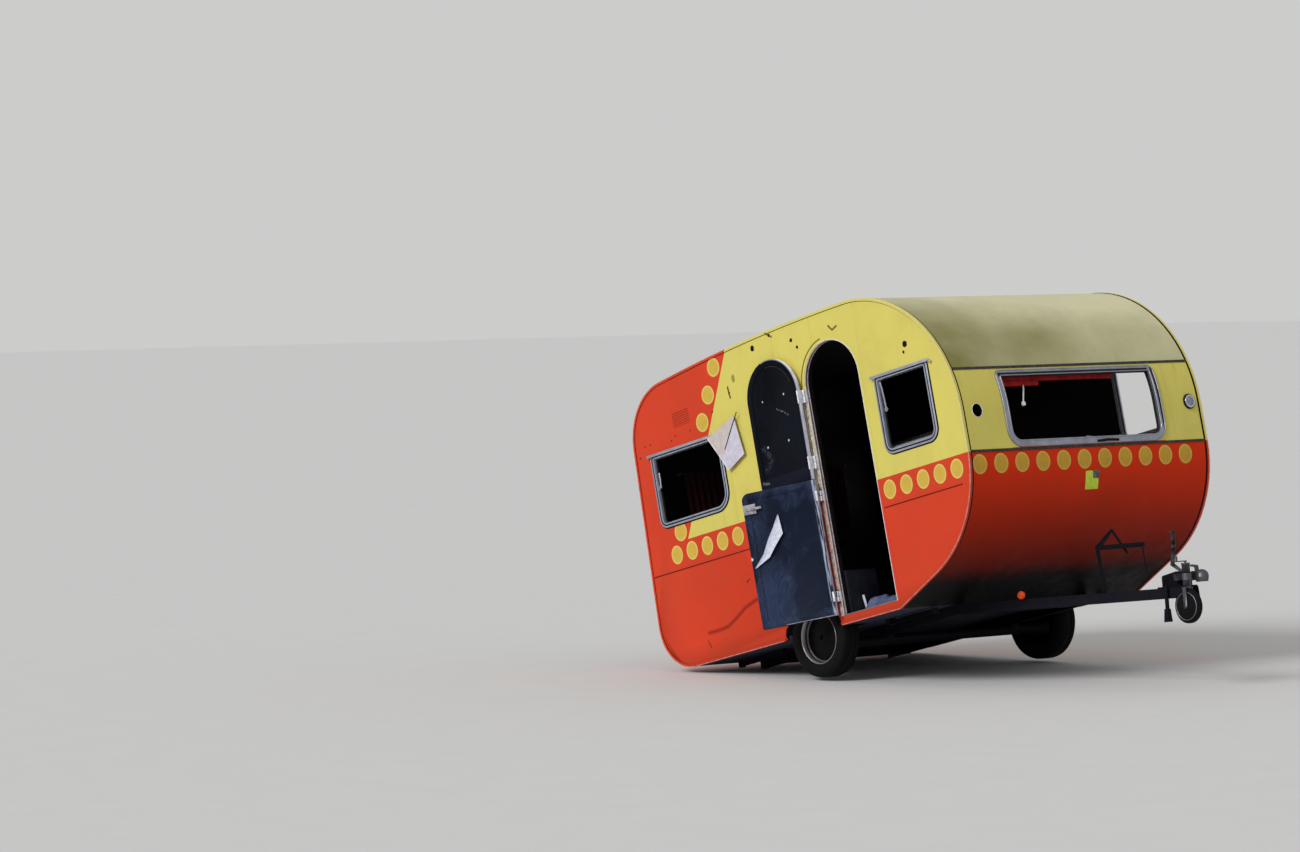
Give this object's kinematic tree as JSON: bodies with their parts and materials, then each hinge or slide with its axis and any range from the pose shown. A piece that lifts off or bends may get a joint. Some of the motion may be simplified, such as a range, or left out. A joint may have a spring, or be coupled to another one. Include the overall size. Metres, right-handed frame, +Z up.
{
  "type": "small touring caravan",
  "caption": "Small rounded two-tone touring caravan, tail down, with a split arched side door standing open, window frames without glass, an A-frame drawbar and a jockey wheel.",
  "frame": {"origin": "centre of the bounding box on the floor, under the caravan as it stands tail down", "axes": "+X runs forward to the coupling, +Y to the left side, +Z up from the floor; the body is tipped nose up by 12.7 degrees"},
  "size_m": [4.0295, 2.3218, 2.3033],
  "materials": {
    "bare_steel": "rusty",
    "body_paint": "weathered gloss",
    "chassis_steel": "grimy black",
    "door_lining": "dark navy",
    "floor_board": "bare plywood",
    "frame_metal": "dull",
    "lamp_lens": "clear over chrome",
    "locker_board": "dark stained plywood",
    "pane_sheet": "torn",
    "roof_paint": "chalky, stained",
    "rubber": "worn",
    "tail_lens": "red",
    "wheel_steel": "black"
  },
  "bodies": {
    "caravan": {"floor_panel": "floor_board", "front_lower_panel": "body_paint", "rear_lower_panel": "body_paint", "roof_panel": "roof_paint", "front_window_panel": "body_paint", "rear_window_panel": "body_paint", "window_frames_end": "frame_metal", "seam_strips": "body_paint", "side_wall_right": "body_paint", "window_frames_right": "frame_metal", "side_wall_left": "body_paint", "window_frames_left": "frame_metal", "edge_trims": "body_paint", "waist_strips": "body_paint", "door_frame": "body_paint", "door_trim": "frame_metal", "wheel_tubs": "chassis_steel", "lockers": "locker_board", "benches": "locker_board", "axle_beam": "chassis_steel", "chassis_rails": "chassis_steel", "cross_members": "chassis_steel", "steady_brackets": "chassis_steel", "coupling_housing": "chassis_steel", "coupling_head": "bare_steel", "handbrake_lever": "chassis_steel", "prop_leg": "chassis_steel", "jockey_clamp": "chassis_steel", "jockey_tube": "chassis_steel", "bottle_bracket": "chassis_steel", "lamp_front": "lamp_lens", "lamps_rear": "tail_lens", "hanging_pane": "pane_sheet"},
    "wheel_right": {"tyre_right": "rubber", "rim_right": "wheel_steel"},
    "wheel_left": {"tyre_left": "rubber", "rim_left": "wheel_steel"},
    "upper_door": {"door_upper": "door_lining"},
    "lower_door": {"door_lower": "door_lining", "door_lock": "bare_steel"},
    "jockey_leg": {"jockey_slider": "bare_steel"},
    "jockey_swivel": {"jockey_fork": "chassis_steel"},
    "jockey_wheel": {"jockey_wheel": "rubber"},
    "steady_front_right": {"steady_front_right": "chassis_steel"},
    "steady_front_left": {"steady_front_left": "chassis_steel"},
    "steady_rear_right": {"steady_rear_right": "chassis_steel"},
    "steady_rear_left": {"steady_rear_left": "chassis_steel"}
  },
  "joints": [
    {"name": "wheel_right_spin", "type": "hinge", "parent": "caravan", "child": "wheel_right", "pos_m": [-0.34551, -0.7731, 0.2591], "axis": [0, 1, 0], "continuous": true},
    {"name": "wheel_left_spin", "type": "hinge", "parent": "caravan", "child": "wheel_left", "pos_m": [-0.34551, 1.0509, 0.2591], "axis": [0, 1, 0], "continuous": true},
    {"name": "upper_door_hinge", "type": "hinge", "parent": "caravan", "child": "upper_door", "pos_m": [-0.34069, -0.8761, 1.52512], "axis": [-0.2198, 0, 0.9755], "range_deg": [0, 181.5]},
    {"name": "lower_door_hinge", "type": "hinge", "parent": "caravan", "child": "lower_door", "pos_m": [-0.17912, -0.8761, 0.8081], "axis": [-0.2198, 0, 0.9755], "range_deg": [-25, 150]},
    {"name": "jockey_slide", "type": "slide", "parent": "caravan", "child": "jockey_leg", "axis": [0.0863, 0, -0.9963], "range_m": [0, 0.08]},
    {"name": "jockey_castor", "type": "hinge", "parent": "jockey_leg", "child": "jockey_swivel", "pos_m": [1.90502, 0.0239, 0.59455], "axis": [-0.0863, 0, 0.9963], "continuous": true},
    {"name": "jockey_wheel_spin", "type": "hinge", "parent": "jockey_swivel", "child": "jockey_wheel", "pos_m": [1.91478, 0.0239, 0.48197], "axis": [0, 1, 0], "continuous": true},
    {"name": "steady_front_right_hinge", "type": "hinge", "parent": "caravan", "child": "steady_front_right", "pos_m": [0.00349, -0.5611, 0.34799], "axis": [0, 1, 0], "range_deg": [0, 75]},
    {"name": "steady_front_left_hinge", "type": "hinge", "parent": "caravan", "child": "steady_front_left", "pos_m": [0.00349, 0.8389, 0.34799], "axis": [0, 1, 0], "range_deg": [0, 75]},
    {"name": "steady_rear_right_hinge", "type": "hinge", "parent": "caravan", "child": "steady_rear_right", "pos_m": [-0.97206, -0.5611, 0.12817], "axis": [0, -1, 0], "range_deg": [0, 75]},
    {"name": "steady_rear_left_hinge", "type": "hinge", "parent": "caravan", "child": "steady_rear_left", "pos_m": [-0.97206, 0.8389, 0.12817], "axis": [0, -1, 0], "range_deg": [0, 75]}
  ]
}
